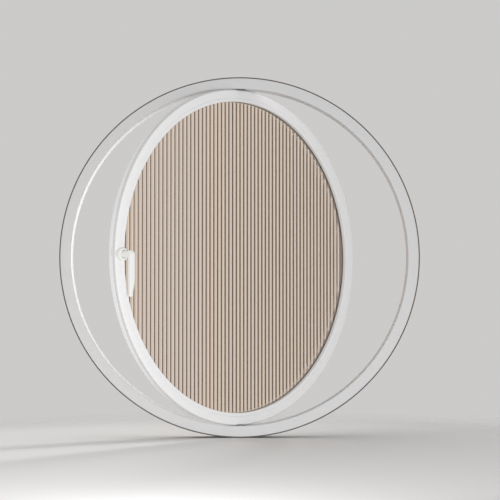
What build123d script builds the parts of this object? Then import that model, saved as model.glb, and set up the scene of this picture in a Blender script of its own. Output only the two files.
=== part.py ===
from build123d import *
from math import asin, degrees, sqrt
import os

# A round window: a ring frame of hollow aluminium, and a round sash that turns in it about an
# upright axis through its middle. Lengths are millimetres and angles are degrees. The origin is
# the centre of the window, halfway through the frame's depth. Z is up and -Y is the handle side.
# Every piece is drawn with the sash closed, and the sash's pieces are then turned open together.

# How the window stands
open_angle = 44.5            # the sash's turn from closed, its left edge towards -Y

# Frame ring
frame_outer_radius = 447.0
frame_face_width = 26.0
frame_depth = 54.0
frame_wall = 2.5             # face walls and outer wall of the hollow section
frame_inner_wall = 4.0       # the wall that carries the pivots and the keeper
frame_bevel = 1.2

# Foam rubber band between the frame and the wall opening
wall_seal_height = 3.0
wall_seal_setback = 0.4      # how far the band's edges lie behind the frame's faces

# Sash ring
swing_gap = 3.0              # all round between sash and frame
sash_width = 28.5            # from the outer edge to the sight line
sash_thickness = 24.0
sash_wall = 2.0
sash_bevel = 0.8
cavity_inner_wall = 1.5      # between the glass rebate and the hollow
cavity_outer_wall = 4.0      # under the brush groove
rear_lip = 3.5               # thickness of the lip behind the glass

# Reeded glass
glass_cover = 7.0            # how far the glass runs in behind the sight line
glass_edge_gap = 2.0         # from the glass edge to the rebate
glass_thickness = 6.0
glass_recess = 11.6          # from the sash's front face to the tops of the reeds
reed_pitch = 13.0
reed_depth = 1.8
reed_offset = -0.6           # sideways shift of the reeds from the middle of the pane

# Glazing bead and gaskets
bead_slope = 0.7             # fall of the bead's face from its outer to its inner edge
bead_nose = 1.0              # bevel at the bead's inner edge
bead_joint = 0.2
bead_leg = 2.6               # width of the bead's foot on the gasket
gasket_height = 2.2
gasket_width = 6.0
gasket_inset = 0.4           # from the sight line to the gasket

# Setting blocks under the glass
block_length = 40.0
block_spread = 24.0          # angle of each block from the foot of the pane

# Brush seal in the sash's edge
groove_depth = 2.2
groove_width = 5.0
groove_from_face = 3.0
brush_tip_gap = 0.5          # from the brush to the frame
brush_tip_width = 2.6
brush_end_gap = 17.0         # half the gap in the brush at each pivot

# Pivots, the same at top and bottom
pivot_pin_diameter = 10.0
running_clearance = 0.05
collar_diameter = 16.0
collar_sink = 0.3            # depth of the flat that the collar stands on
collar_height = 1.4
washer_thickness = 1.0
washer_bore_clearance = 0.2
pin_reach = 19.0             # from the sash's edge into the frame
pin_tail = 17.0              # from the sash's edge into the pivot block
pin_tip_bevel = 1.0
bush_wall = 1.5
bush_flange_diameter = 18.0
bush_flange_thickness = 1.2
cup_wall = 2.0
cup_floor = 3.0
cup_end_gap = 0.6
plate_width = 30.0
plate_length = 47.0
plate_thickness = 2.5
plate_corner = 5.0
plate_proud = 0.1            # how far the plate stands out of the frame's curve at its middle
pivot_screw_spacing = 38.0
pivot_block_length = 52.0
block_clearance = 0.3

# Stop peg, which sets how far the sash turns
swing_range = 160.0
peg_diameter = 3.0
peg_radius = 11.0            # from the pivot axis
peg_slot_clearance = 0.3
peg_tip_gap = 0.4
peg_grip = 8.0               # length of peg held in the sash

# Handle
backset = 14.5               # from the sash's edge to the handle's axis
rosette_diameter = 30.0
rosette_height = 14.5
rosette_wall = 1.6
rosette_round = 2.4
base_thickness = 9.0
journal_diameter = 12.0
neck_diameter = 19.0
neck_tip_diameter = 16.5
grip_standoff = 35.5         # from the sash's face to the back of the grip
grip_thickness = 9.0
grip_width = 15.0
grip_top = 8.5
grip_heel = 8.0              # length and depth of the slope at the grip's upper end
grip_heel_depth = 5.0
grip_drop = 98.5
grip_toe = 32.0              # length and depth of the slope at its lower end
grip_toe_depth = 4.5
grip_taper = 45.0            # length over which the lower end narrows
grip_tip_width = 10.0
grip_corner_round = 2.4
grip_edge_round = 1.8
spindle_size = 6.0
spindle_clearance = 0.05
spindle_socket = 24.0
spindle_end_gap = 1.0
spindle_rear_gap = 2.0
spindle_bush_diameter = 10.0
spindle_hole = 9.4
grub_diameter = 4.0
grub_length = 5.0
grub_height = 18.0           # from the sash's face

# Cam tongue on the spindle, and its keeper
tongue_reach = 21.5
tongue_width = 6.0
tongue_thickness = 2.6
tongue_set = 3.0             # behind the middle of the sash
hub_diameter = 10.4
slot_clearance = 0.5
keeper_length = 67.0
keeper_thickness = 2.0
keeper_lip = 1.2
keeper_lip_width = 17.0
keeper_leg = 40.0
keeper_screw_spacing = 54.0
keeper_gap = 0.3             # round the keeper in its seat
fit_gap = 0.1                # round a piece that is let into another

# Countersunk screws: shank, head and length
pivot_screw = (4.0, 7.2, 10.0)
keeper_screw = (3.0, 5.6, 10.0)
rosette_screw = (3.0, 5.4, 15.0)
head_angle_drop = 0.5        # cone height for each millimetre of head overhang
hexagon_share = 0.32         # a hexagon recess's radius as a share of the screw's diameter
past = 1.0                   # how far a cutting or joining shape runs past the face it meets

# Radii and levels that follow. A level is a distance forward of the sash's middle plane.
frame_inner_radius = frame_outer_radius - frame_face_width
sash_outer_radius = frame_inner_radius - swing_gap
sight_radius = sash_outer_radius - sash_width
glass_radius = sight_radius + glass_cover
rebate_radius = glass_radius + glass_edge_gap
face_level = sash_thickness / 2
glass_level = face_level - glass_recess
glass_back_level = glass_level - glass_thickness
rear_lip_level = rear_lip - face_level
bead_foot_level = glass_level + gasket_height
groove_floor_radius = sash_outer_radius - groove_depth
groove_top_level = face_level - groove_from_face
groove_bottom_level = groove_top_level - groove_width
cavity_inner_radius = rebate_radius + cavity_inner_wall
cavity_outer_radius = sash_outer_radius - cavity_outer_wall
cavity_level = face_level - sash_wall
handle_radius = sash_outer_radius - backset
collar_top_radius = sash_outer_radius - collar_sink + collar_height
washer_top_radius = collar_top_radius + washer_thickness
plate_front_radius = frame_inner_radius - plate_proud
plate_back_radius = plate_front_radius + plate_thickness
bush_outer_diameter = pivot_pin_diameter + 2 * (running_clearance + bush_wall)
cup_diameter = bush_outer_diameter + 2 * cup_wall
pin_tip_radius = sash_outer_radius + pin_reach
base_diameter = rosette_diameter - 2 * (rosette_wall + fit_gap)
tongue_level = -tongue_set


def circle_band(points, hollow=None, start=0.0, sweep=360.0):
    """A ring, or a stretch of one, with its section given as (radius, forward level) points.
    Angles run from +X towards +Z."""
    section = make_face(Polyline(*[(radius, -level) for radius, level in points], close=True))
    if hollow:
        section -= make_face(Polyline(*[(radius, -level) for radius, level in hollow], close=True))
    return Rot(0, -start, 0) * revolve(section, -Axis.Y, sweep)


def rectangle(inner, outer, low, high):
    """The four corners of a rectangular section."""
    return [(outer, high), (outer, low), (inner, low), (inner, high)]


def post(diameter, bottom, top):
    """An upright round post between two heights."""
    return Pos(0, 0, (bottom + top) / 2) * Cylinder(diameter / 2, top - bottom)


def slab(width, length, bottom, top):
    """An upright block between two heights."""
    return Pos(0, 0, (bottom + top) / 2) * Box(width, length, top - bottom)


def at_handle(part):
    """Places a part drawn with its axis along Z, forward from the sash's middle, at the handle's axis."""
    return Pos(-handle_radius, 0, 0) * Rot(90, 0, 0) * part


def countersunk_screw(sizes):
    """A countersunk screw pointing up, with its head's top at the origin."""
    shank, head, length = sizes
    cone = (head - shank) * head_angle_drop
    outline = [(0, 0), (head / 2, 0), (shank / 2, cone), (shank / 2, length - shank / 2), (0, length)]
    screw = revolve(make_face(Plane.XZ * Polyline(*outline, close=True)), Axis.Z)
    return screw - extrude(RegularPolygon(shank * hexagon_share, 6), cone)


def screw_cut(sizes):
    """The countersunk hole for a screw, a little larger than the screw."""
    shank, head, length = sizes
    wide = head / 2 + fit_gap
    narrow = shank / 2 + fit_gap
    cone = (head - shank) * head_angle_drop
    end = length + past
    outline = [(0, -past), (wide, -past), (wide, 0), (narrow, cone), (narrow, end), (0, end)]
    return revolve(make_face(Plane.XZ * Polyline(*outline, close=True)), Axis.Z)


# Frame

def frame_ring():
    front = frame_depth / 2
    section = [
        (frame_inner_radius + frame_bevel, front),
        (frame_outer_radius, front),
        (frame_outer_radius, -front),
        (frame_inner_radius + frame_bevel, -front),
        (frame_inner_radius, frame_bevel - front),
        (frame_inner_radius, front - frame_bevel),
    ]
    hollow = rectangle(
        frame_inner_radius + frame_inner_wall,
        frame_outer_radius - frame_wall,
        frame_wall - front,
        front - frame_wall,
    )
    ring = circle_band(section, hollow)
    inside = frame_inner_radius + 2 * frame_inner_wall
    outline = RectangleRounded(plate_width + 2 * fit_gap, plate_length + 2 * fit_gap, plate_corner + fit_gap)
    pocket = Pos(0, 0, plate_front_radius - past) * extrude(outline, plate_thickness + past)
    pocket += post(cup_diameter + 2 * fit_gap, plate_back_radius, inside)
    for y in pivot_screw_places():
        pocket += Pos(0, y, 0) * post(pivot_screw[0] + fit_gap, plate_front_radius, inside)
    ring -= pocket
    ring -= mirror(pocket, Plane.XY)
    ring -= keeper_body(keeper_gap)
    ring -= tongue_slot(plate_front_radius, 2 * slot_clearance)
    for z in keeper_screw_places():
        ring -= keeper_screw_seat(z) * post(keeper_screw[0] + fit_gap, 0, 2 * frame_inner_wall)
    return ring


def wall_seal():
    """The foam rubber band round the frame, nearly as wide as the frame is deep."""
    edge = frame_depth / 2 - wall_seal_setback
    return circle_band(rectangle(frame_outer_radius, frame_outer_radius + wall_seal_height, -edge, edge))


def pivot_screw_places():
    return (-pivot_screw_spacing / 2, pivot_screw_spacing / 2)


def pivot_housing(with_slot):
    """Plate and closed cup that carry the bush, drawn for the top of the frame."""
    outline = RectangleRounded(plate_width, plate_length, plate_corner)
    housing = Pos(0, 0, plate_front_radius) * extrude(outline, plate_thickness)
    cup_end = pin_tip_radius + cup_end_gap
    housing += post(cup_diameter, plate_back_radius, cup_end + cup_floor)
    housing -= post(bush_outer_diameter, plate_front_radius - past, cup_end)
    flange_seat = washer_top_radius + bush_flange_thickness
    housing -= post(bush_flange_diameter + fit_gap, plate_front_radius - past, flange_seat)
    for y in pivot_screw_places():
        housing -= Pos(0, y, plate_front_radius) * screw_cut(pivot_screw)
    if with_slot:
        housing -= peg_slot()
    return housing


def peg_slot():
    """Arc slot that the stop peg runs in, from closed to fully turned."""
    width = peg_diameter + 2 * peg_slot_clearance
    spare = degrees(peg_slot_clearance / peg_radius)
    inner = peg_radius - width / 2
    outer = peg_radius + width / 2
    first = Rot(0, 0, -spare)
    last = Rot(0, 0, swing_range + spare)
    section = first * Pos((inner + outer) / 2, 0, 0) * Rot(90, 0, 0) * Rectangle(width, plate_thickness)
    slot = revolve(section, Axis.Z, swing_range + 2 * spare)
    for end in (first, last):
        slot += end * Pos(peg_radius, 0, 0) * Cylinder(width / 2, plate_thickness)
    return Pos(0, 0, plate_front_radius + plate_thickness / 2) * slot


def pivot_bush():
    """Flanged nylon bush for one pivot pin, drawn for the top of the frame."""
    seat = washer_top_radius
    bush = post(bush_flange_diameter, seat, seat + bush_flange_thickness)
    bush += post(bush_outer_diameter, seat, pin_tip_radius - pin_tip_bevel)
    return bush - post(pivot_pin_diameter + 2 * running_clearance, seat - past, pin_tip_radius)


def pivot_washer():
    """Washer between the pin's collar and the bush."""
    washer = post(collar_diameter, collar_top_radius, washer_top_radius)
    bore = pivot_pin_diameter + 2 * washer_bore_clearance
    return washer - post(bore, collar_top_radius - past, washer_top_radius + past)


def pivot_screws():
    """Two countersunk screws at each pivot."""
    upper = [Pos(0, y, plate_front_radius) * countersunk_screw(pivot_screw) for y in pivot_screw_places()]
    return upper + [mirror(screw, Plane.XY) for screw in upper]


def keeper_screw_places():
    return (-keeper_screw_spacing / 2, keeper_screw_spacing / 2)


def keeper_body(gap):
    """Angle strip bent to the frame's curve: a leg in the reveal and a lip on the frame's face."""
    front = frame_depth / 2
    half_angle = degrees(asin((keeper_length / 2 + gap) / frame_inner_radius))
    leg = frame_inner_radius + keeper_thickness + gap
    lip = front - keeper_lip - gap
    outline = [
        (frame_inner_radius - gap, front - frame_bevel),
        (frame_inner_radius + frame_bevel, front + gap),
        (frame_inner_radius + keeper_lip_width + gap, front + gap),
        (frame_inner_radius + keeper_lip_width + gap, lip),
        (leg, lip),
        (leg, front - keeper_leg - gap),
        (frame_inner_radius - gap, front - keeper_leg - gap),
    ]
    return circle_band(outline, None, 180 - half_angle, 2 * half_angle)


def tongue_slot(inner, clearance):
    """Opening that the tongue swings through, cut outwards from the given radius."""
    reach = tongue_reach + clearance
    opening = Cylinder(reach, tongue_thickness + 2 * clearance)
    beyond = slab(3 * reach, 3 * reach, -reach, reach)
    side = tongue_width / 2 + clearance
    opening &= Pos(0, 1.5 * reach - side, 0) * beyond
    edge = handle_radius + reach + past
    keep = Pos(-(inner + edge) / 2, 0, 0) * Box(edge - inner, frame_depth, 4 * reach)
    return at_handle(Pos(0, 0, tongue_level) * opening) & keep


def cam_keeper():
    keeper = keeper_body(0.0)
    keeper -= tongue_slot(frame_inner_radius - past, slot_clearance)
    for z in keeper_screw_places():
        keeper -= keeper_screw_seat(z) * screw_cut(keeper_screw)
    return keeper


def keeper_screw_seat(z):
    """Where a keeper screw's head lies, square to the curve there."""
    angle = degrees(asin(z / frame_inner_radius))
    return Rot(0, angle, 0) * Pos(-frame_inner_radius, -tongue_level, 0) * Rot(0, -90, 0)


def keeper_screws():
    return [keeper_screw_seat(z) * countersunk_screw(keeper_screw) for z in keeper_screw_places()]


# Sash, drawn closed

def sash_ring():
    outline = [
        (rebate_radius, face_level),
        (sash_outer_radius - sash_bevel, face_level),
        (sash_outer_radius, face_level - sash_bevel),
        (sash_outer_radius, groove_top_level),
        (groove_floor_radius, groove_top_level),
        (groove_floor_radius, groove_bottom_level),
        (sash_outer_radius, groove_bottom_level),
        (sash_outer_radius, sash_bevel - face_level),
        (sash_outer_radius - sash_bevel, -face_level),
        (sight_radius, -face_level),
        (sight_radius, rear_lip_level),
        (rebate_radius, rear_lip_level),
    ]
    hollow = rectangle(cavity_inner_radius, cavity_outer_radius, -cavity_level, cavity_level)
    ring = circle_band(outline, hollow)
    seat = post(collar_diameter + 2 * fit_gap, sash_outer_radius - collar_sink, sash_outer_radius + past)
    seat += post(pivot_pin_diameter + fit_gap, cavity_inner_radius + past, sash_outer_radius)
    ring -= seat
    ring -= mirror(seat, Plane.XY)
    peg_hole = post(peg_diameter + fit_gap, cavity_inner_radius + past, sash_outer_radius + past)
    ring -= Pos(peg_radius, 0, 0) * peg_hole
    ring -= tongue_slot(cavity_inner_radius, slot_clearance)
    ring -= at_handle(post(spindle_hole, tongue_level, face_level + past))
    hub_room = hub_diameter + 2 * slot_clearance
    ring -= at_handle(post(hub_room, -cavity_level, tongue_level + tongue_thickness / 2 + slot_clearance))
    for place in rosette_screw_places():
        hole = post(rosette_screw[0] + fit_gap, cavity_level - past, face_level + past)
        ring -= at_handle(place * hole)
    return ring


def glazing_bead():
    """Clip-in ring that holds the glass, with a gently falling face and a bevelled nose."""
    outer = rebate_radius - bead_joint
    nose_level = face_level - bead_slope
    outline = [
        (outer, face_level),
        (sight_radius + bead_nose, nose_level),
        (sight_radius, nose_level - bead_nose),
        (sight_radius, bead_foot_level),
        (sight_radius + bead_leg, bead_foot_level),
        (outer, face_level - bead_leg),
    ]
    return circle_band(outline)


def reeded_glass():
    """A round pane with upright reeds on its front: a row of equal arcs that meet in sharp valleys."""
    count = int(glass_radius // reed_pitch) + 2
    edges = [reed_offset + reed_pitch * i for i in range(-count, count + 1)]
    valley = -(glass_level - reed_depth)
    crest = -glass_level
    reeds = []
    for left, right in zip(edges, edges[1:]):
        reeds.append(ThreePointArc((left, valley), ((left + right) / 2, crest), (right, valley)))
    back = -glass_back_level
    rest = Polyline((edges[-1], valley), (edges[-1], back), (edges[0], back), (edges[0], valley))
    section = make_face(Wire(reeds + rest.edges()))
    sheet = extrude(section, glass_radius, both=True)
    return sheet & Rot(90, 0, 0) * Cylinder(glass_radius, 4 * glass_thickness)


def front_glazing_gasket():
    """Rubber wedge between the bead's foot and the tops of the reeds."""
    inner = sight_radius + gasket_inset
    return circle_band([(inner, bead_foot_level), (inner, glass_level), (inner + gasket_width, glass_level)])


def rear_glazing_gasket():
    """Rubber wedge between the glass and the rear lip."""
    inner = sight_radius + gasket_inset
    outer = inner + gasket_width
    return circle_band([(inner, rear_lip_level), (outer, glass_back_level), (inner, glass_back_level)])


def setting_blocks():
    """Two short blocks that carry the glass in the rebate."""
    angle = degrees(block_length / rebate_radius)
    section = rectangle(glass_radius, rebate_radius, glass_back_level, glass_level - reed_depth)
    starts = (-90 - block_spread - angle / 2, -90 + block_spread - angle / 2)
    return [circle_band(section, None, start, angle) for start in starts]


def sash_brush_seal():
    """Brush strip in the edge groove: one length each side, from pivot to pivot."""
    gap = degrees(asin(brush_end_gap / sash_outer_radius))
    middle = (groove_top_level + groove_bottom_level) / 2
    base = groove_width / 2 - fit_gap
    tip = brush_tip_width / 2
    tip_radius = frame_inner_radius - brush_tip_gap
    outline = [
        (groove_floor_radius, middle + base),
        (tip_radius, middle + tip),
        (tip_radius, middle - tip),
        (groove_floor_radius, middle - base),
    ]
    return [circle_band(outline, None, start, 180 - 2 * gap) for start in (gap - 90, gap + 90)]


def pivot_block(with_peg):
    """Solid block inside the hollow that the pivot pin is pressed into, drawn for the top."""
    angle = degrees(pivot_block_length / cavity_outer_radius)
    section = rectangle(
        cavity_inner_radius + block_clearance,
        cavity_outer_radius - block_clearance,
        block_clearance - cavity_level,
        cavity_level - block_clearance,
    )
    block = circle_band(section, None, 90 - angle / 2, angle)
    block -= post(pivot_pin_diameter, cavity_inner_radius - past, sash_outer_radius)
    if with_peg:
        block -= Pos(peg_radius, 0, 0) * post(peg_diameter, peg_foot(), sash_outer_radius)
    return block


def pivot_pin():
    """Steel pin with a collar, drawn for the top of the sash."""
    tail = sash_outer_radius - pin_tail
    pin = post(pivot_pin_diameter, tail, pin_tip_radius)
    pin += post(collar_diameter, sash_outer_radius - collar_sink, collar_top_radius)
    return chamfer(pin.edges().sort_by(Axis.Z)[-1], pin_tip_bevel)


def peg_foot():
    return sash_outer_radius - peg_grip


def stop_peg():
    tip = plate_back_radius - peg_tip_gap
    return Pos(peg_radius, 0, 0) * post(peg_diameter, peg_foot(), tip)


def rosette_screw_places():
    middle = (base_diameter + journal_diameter) / 4
    return (Pos(0, middle, 0), Pos(0, -middle, 0))


def rosette_screw_seats():
    """Where the heads of the screws lie in the base, pointing into the sash."""
    top = Pos(0, 0, face_level + base_thickness) * Rot(180, 0, 0)
    return [place * top for place in rosette_screw_places()]


def rosette_base():
    """Plate screwed to the sash's face, with the bearing for the lever."""
    base = post(base_diameter, face_level, face_level + base_thickness)
    bore = journal_diameter + 2 * running_clearance
    base -= post(bore, face_level - past, face_level + base_thickness + past)
    for seat in rosette_screw_seats():
        base -= seat * screw_cut(rosette_screw)
    return at_handle(base)


def rosette_screws():
    return [at_handle(seat * countersunk_screw(rosette_screw)) for seat in rosette_screw_seats()]


def rosette_cover():
    """Round cap over the base, with a rounded rim."""
    top = face_level + rosette_height
    cover = post(rosette_diameter, face_level, top)
    cover = fillet(cover.edges().sort_by(Axis.Z)[-1], rosette_round)
    cover -= post(rosette_diameter - 2 * rosette_wall, face_level - past, top - rosette_wall)
    cover -= post(neck_diameter + 4 * fit_gap, face_level, top + past)
    return at_handle(cover)


def spindle_bush():
    """Nylon cup inside the rear wall that steadies the spindle's end."""
    floor = -cavity_level
    top = tongue_level - tongue_thickness / 2 - fit_gap
    bush = post(spindle_bush_diameter, floor, top)
    corner = spindle_size * sqrt(2)
    bush -= post(corner + 2 * running_clearance, floor + spindle_rear_gap / 2, top + past)
    return at_handle(bush)


# Handle, drawn pointing down with the sash closed

def handle_lever():
    """Round neck with a journal, and a flat grip that slopes at its ends and narrows to the lower."""
    back = face_level + grip_standoff
    neck_start = face_level + base_thickness + running_clearance
    lever = post(journal_diameter, face_level + running_clearance, neck_start + past)
    cone = [
        (0, neck_start),
        (neck_diameter / 2, neck_start),
        (neck_tip_diameter / 2, back + past),
        (0, back + past),
    ]
    lever += revolve(make_face(Plane.XZ * Polyline(*cone, close=True)), Axis.Z)
    lever += lever_grip(back)
    socket = spindle_size + 2 * spindle_clearance
    lever -= slab(socket, socket, face_level - past, face_level + spindle_socket)
    lever -= grub_place() * post(grub_diameter + fit_gap / 2, spindle_size / 2, neck_diameter)
    return at_handle(lever)


def lever_grip(back):
    """The grip: its side view carried across, trimmed to its plan, with the front edges rounded."""
    front = back + grip_thickness
    side = [
        (back, grip_top),
        (front - grip_heel_depth, grip_top),
        (front, grip_top - grip_heel),
        (front, grip_toe - grip_drop),
        (front - grip_toe_depth, -grip_drop),
        (back, -grip_drop),
    ]
    profile = make_face(Plane.YZ * Polyline(*[(height, level) for level, height in side], close=True))
    half = grip_width / 2
    tip = grip_tip_width / 2
    taper_start = grip_taper - grip_drop
    plan = make_face(Polyline(
        (-half, grip_top),
        (half, grip_top),
        (half, taper_start),
        (tip, -grip_drop),
        (-tip, -grip_drop),
        (-half, taper_start),
        close=True,
    ))
    ends = plan.vertices().sort_by(Axis.Y)
    plan = fillet(ends[:2] + ends[-2:], grip_corner_round)
    grip = extrude(profile, half, both=True) & extrude(plan, front + past)
    front_face = grip.faces().sort_by(Axis.Z)[-1]
    return fillet(front_face.edges().filter_by(Axis.Y), grip_edge_round)


def grub_place():
    """Across the neck's underside, pointing down from the axis."""
    return Pos(0, 0, face_level + grub_height) * Rot(90, 0, 0)


def handle_grub_screw():
    start = spindle_size / 2 + spindle_clearance
    screw = post(grub_diameter, start, start + grub_length)
    recess = extrude(RegularPolygon(grub_diameter * hexagon_share, 6), grub_length / 2)
    screw -= Pos(0, 0, start + grub_length / 2) * recess
    return at_handle(grub_place() * screw)


def handle_spindle():
    """Square steel bar from the foot of the lever's socket to the bush at the sash's rear."""
    tail = spindle_rear_gap - cavity_level
    return at_handle(slab(spindle_size, spindle_size, tail, face_level + spindle_socket - spindle_end_gap))


def cam_tongue():
    """Flat tongue on the spindle: it stands up inside the sash and turns out into the keeper."""
    low = tongue_level - tongue_thickness / 2
    high = tongue_level + tongue_thickness / 2
    blade_length = tongue_reach - tongue_width / 2
    cam = post(hub_diameter, low, high)
    cam += Pos(0, blade_length / 2, 0) * slab(tongue_width, blade_length, low, high)
    cam += Pos(0, blade_length, 0) * post(tongue_width, low, high)
    hole = spindle_size + 2 * spindle_clearance
    return at_handle(cam - slab(hole, hole, low - past, high + past))


def below(part):
    """The same piece at the lower pivot."""
    return mirror(part, Plane.XY)


def opened(parts):
    """Turns closed sash pieces to the angle the window stands at."""
    return [Rot(0, 0, open_angle) * part for part in parts]


def listed(part):
    return part if isinstance(part, list) else [part]


def write(name, parts):
    solids = [solid for part in parts for solid in part.solids()]
    shape = solids[0] if len(solids) == 1 else Compound(children=solids)
    export_step(shape, f"parts/{name}.step")


frame_pieces = {
    "frame_ring": frame_ring(),
    "wall_seal": wall_seal(),
    "upper_pivot_housing": pivot_housing(True),
    "lower_pivot_housing": below(pivot_housing(False)),
    "upper_pivot_bush": pivot_bush(),
    "lower_pivot_bush": below(pivot_bush()),
    "friction_washer": pivot_washer(),
    "thrust_washer": below(pivot_washer()),
    "pivot_screws": pivot_screws(),
    "cam_keeper": cam_keeper(),
    "keeper_screws": keeper_screws(),
}

sash_pieces = {
    "sash_ring": sash_ring(),
    "glazing_bead": glazing_bead(),
    "reeded_glass": reeded_glass(),
    "front_glazing_gasket": front_glazing_gasket(),
    "rear_glazing_gasket": rear_glazing_gasket(),
    "setting_blocks": setting_blocks(),
    "sash_brush_seal": sash_brush_seal(),
    "upper_pivot_block": pivot_block(True),
    "lower_pivot_block": below(pivot_block(False)),
    "upper_pivot_pin": pivot_pin(),
    "lower_pivot_pin": below(pivot_pin()),
    "stop_peg": stop_peg(),
    "rosette_base": rosette_base(),
    "rosette_cover": rosette_cover(),
    "rosette_screws": rosette_screws(),
    "spindle_bush": spindle_bush(),
}

handle_pieces = {
    "handle_lever": handle_lever(),
    "handle_spindle": handle_spindle(),
    "handle_grub_screw": handle_grub_screw(),
    "cam_tongue": cam_tongue(),
}

os.makedirs("parts", exist_ok=True)
for name, part in frame_pieces.items():
    write(name, listed(part))
for name, part in {**sash_pieces, **handle_pieces}.items():
    write(name, opened(listed(part)))
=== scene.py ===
from math import cos, pi, radians, sin

import bmesh
import bpy
import numpy as np
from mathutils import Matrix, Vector


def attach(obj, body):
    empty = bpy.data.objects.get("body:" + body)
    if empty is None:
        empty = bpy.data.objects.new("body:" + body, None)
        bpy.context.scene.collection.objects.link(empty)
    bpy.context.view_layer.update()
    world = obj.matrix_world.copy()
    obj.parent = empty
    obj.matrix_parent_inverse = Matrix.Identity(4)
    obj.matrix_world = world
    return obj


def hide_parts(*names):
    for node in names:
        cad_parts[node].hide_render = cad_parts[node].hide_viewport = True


bl_info = {
    "name": "Round Pivot Window",
    "version": (1, 0, 0),
    "blender": (4, 5, 0),
    "location": "View3D > Sidebar > Window",
    "description": "Dresses a round pivot window with its coats, reeded pane and handle",
    "category": "Add Mesh",
}

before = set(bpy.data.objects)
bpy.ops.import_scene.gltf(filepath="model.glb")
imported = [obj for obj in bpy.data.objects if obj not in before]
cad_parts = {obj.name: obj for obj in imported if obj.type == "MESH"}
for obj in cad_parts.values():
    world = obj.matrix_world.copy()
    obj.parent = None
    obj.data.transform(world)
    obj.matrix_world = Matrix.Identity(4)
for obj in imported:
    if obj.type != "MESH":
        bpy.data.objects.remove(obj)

MM = 0.001
TURN = radians(44.5)          # the sash stands open by this much, its left edge towards -Y
AROUND = 360                  # steps round a ring
SIDE_SHARE = 0.45             # the most of a side that one rounded corner takes up
SHARP = 35.0                  # degrees from which an edge is drawn sharp
JOIN = 1e-7                   # metres within which two points count as one

# Frame, as radii and as levels forward of its middle plane, in millimetres
FRAME_OUTER = 447.0
FRAME_INNER = 421.0
FRAME_HALF_DEPTH = 27.0
FRAME_BEVEL = 1.2
SEAL_OUTER = 450.0
SEAL_SETBACK = 0.4
SEAL_CREST = 1.5              # from the frame's edge to the crest of the foam's free edge
SEAL_ROUND = 0.8
SEAL_WAVES = (566, 217)       # waves once round the band, 5 and 13 mm long
SEAL_WAVE_DEPTH = 0.08

# Keeper and pivot plates, for the seats that they are let into
KEEPER_LIP = 1.2
KEEPER_LIP_WIDTH = 17.0
KEEPER_LEG = 40.0
KEEPER_THICKNESS = 2.0
KEEPER_HALF_LENGTH = 33.5
PLATE_WIDTH = 30.0
PLATE_LENGTH = 47.0
PLATE_CORNER = 5.0
PLATE_BACK = 423.4
SEAT_GAP = 0.1
CUT_PAST = 3.0                # how far a cutter reaches past the face that it opens
SLOT_REACH = 12.0             # how far a tongue slot is cut outwards

# Sash
SASH_OUTER = 418.0
SASH_HALF = 12.0
SASH_BEVEL = 0.8
SIGHT = 389.5
REBATE = 398.5
REAR_LIP_LEVEL = -8.5
GROOVE_FLOOR = 415.8
GROOVE_TOP = 9.0
GROOVE_BOTTOM = 4.0
SASH_SLOT_START = 407.8       # radius from which the sash's slot is cut
TONGUE_SLOT = ((1.2, -3.5), (4.8, 17.0))      # depth and height, low and high corner
KEEPER_SLOT = ((0.7, -4.0), (5.3, 14.5))
BEAD_OUTER = 398.3
BEAD_FALL = 0.7
BEAD_BEVEL = 1.0
BEAD_FOOT = 2.6
BEAD_FOOT_LEVEL = 2.6

# Reeded pane
PANE_RADIUS = 396.5
PANE_FRONT = 0.4
PANE_BACK = -5.6
PANE_LINES = 1601             # upright lines of points across the pane
PANE_ROWS = (-1.0, -0.996, -0.5, 0.5, 0.996, 1.0)      # as shares of a line's half length

# Brush seal
PILE_TIP = 420.5
PILE_BACK_HALF = 2.4          # half width at the woven back
PILE_TIP_HALF = 1.3
PILE_BACK_HEIGHT = 1.0
PILE_ROUND = 0.3
PILE_WAVES = (700, 1130)      # waves once round the sash, 3.8 and 2.3 mm long
PILE_END_GAP = 17.0
PILE_STEPS = 2200

# Handle, at its axis on the left stile
HANDLE_RADIUS = 403.5
ROSETTE_RADIUS = 15.0
ROSETTE_HEIGHT = 14.5
ROSETTE_WALL = 1.6
ROSETTE_RIM = 2.4
NECK_START = 21.05
NECK_BASE = 9.5
NECK_TIP = 8.25               # at its narrowest place
NECK_END = 8.35               # inside the grip
NECK_BORE = 4.4
NECK_GAP = 0.3                # between the neck and the rosette's hole
NECK_FLARE = 2.5              # from the neck's narrowest place to the grip
NECK_SINK = 0.6               # how far the neck reaches into the grip
GRIP_BACK = 47.5
GRIP_FRONT = 56.5
GRIP_TOP = 8.5
GRIP_FOOT = -98.5
GRIP_HALF_WIDTH = 7.5
GRIP_TIP_HALF_WIDTH = 5.0
GRIP_TAPER = 45.0
GRIP_HEEL = (8.0, 5.0)        # length and depth of the upper slope
GRIP_TOE = (32.0, 4.5)        # length and depth of the lower slope
GRIP_CORNER = 2.4
GRIP_BACK_ROUND = 0.8         # radius of the edges at the back and at both ends
GRIP_ARC = 9                  # points on each of the section's four corner arcs
GRIP_ROWS = 160               # sections between the two end rounds
GRIP_END_ROWS = 12            # sections in each end round
GRIP_END_GAP = 0.4            # from an end round to the first section after it

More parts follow.
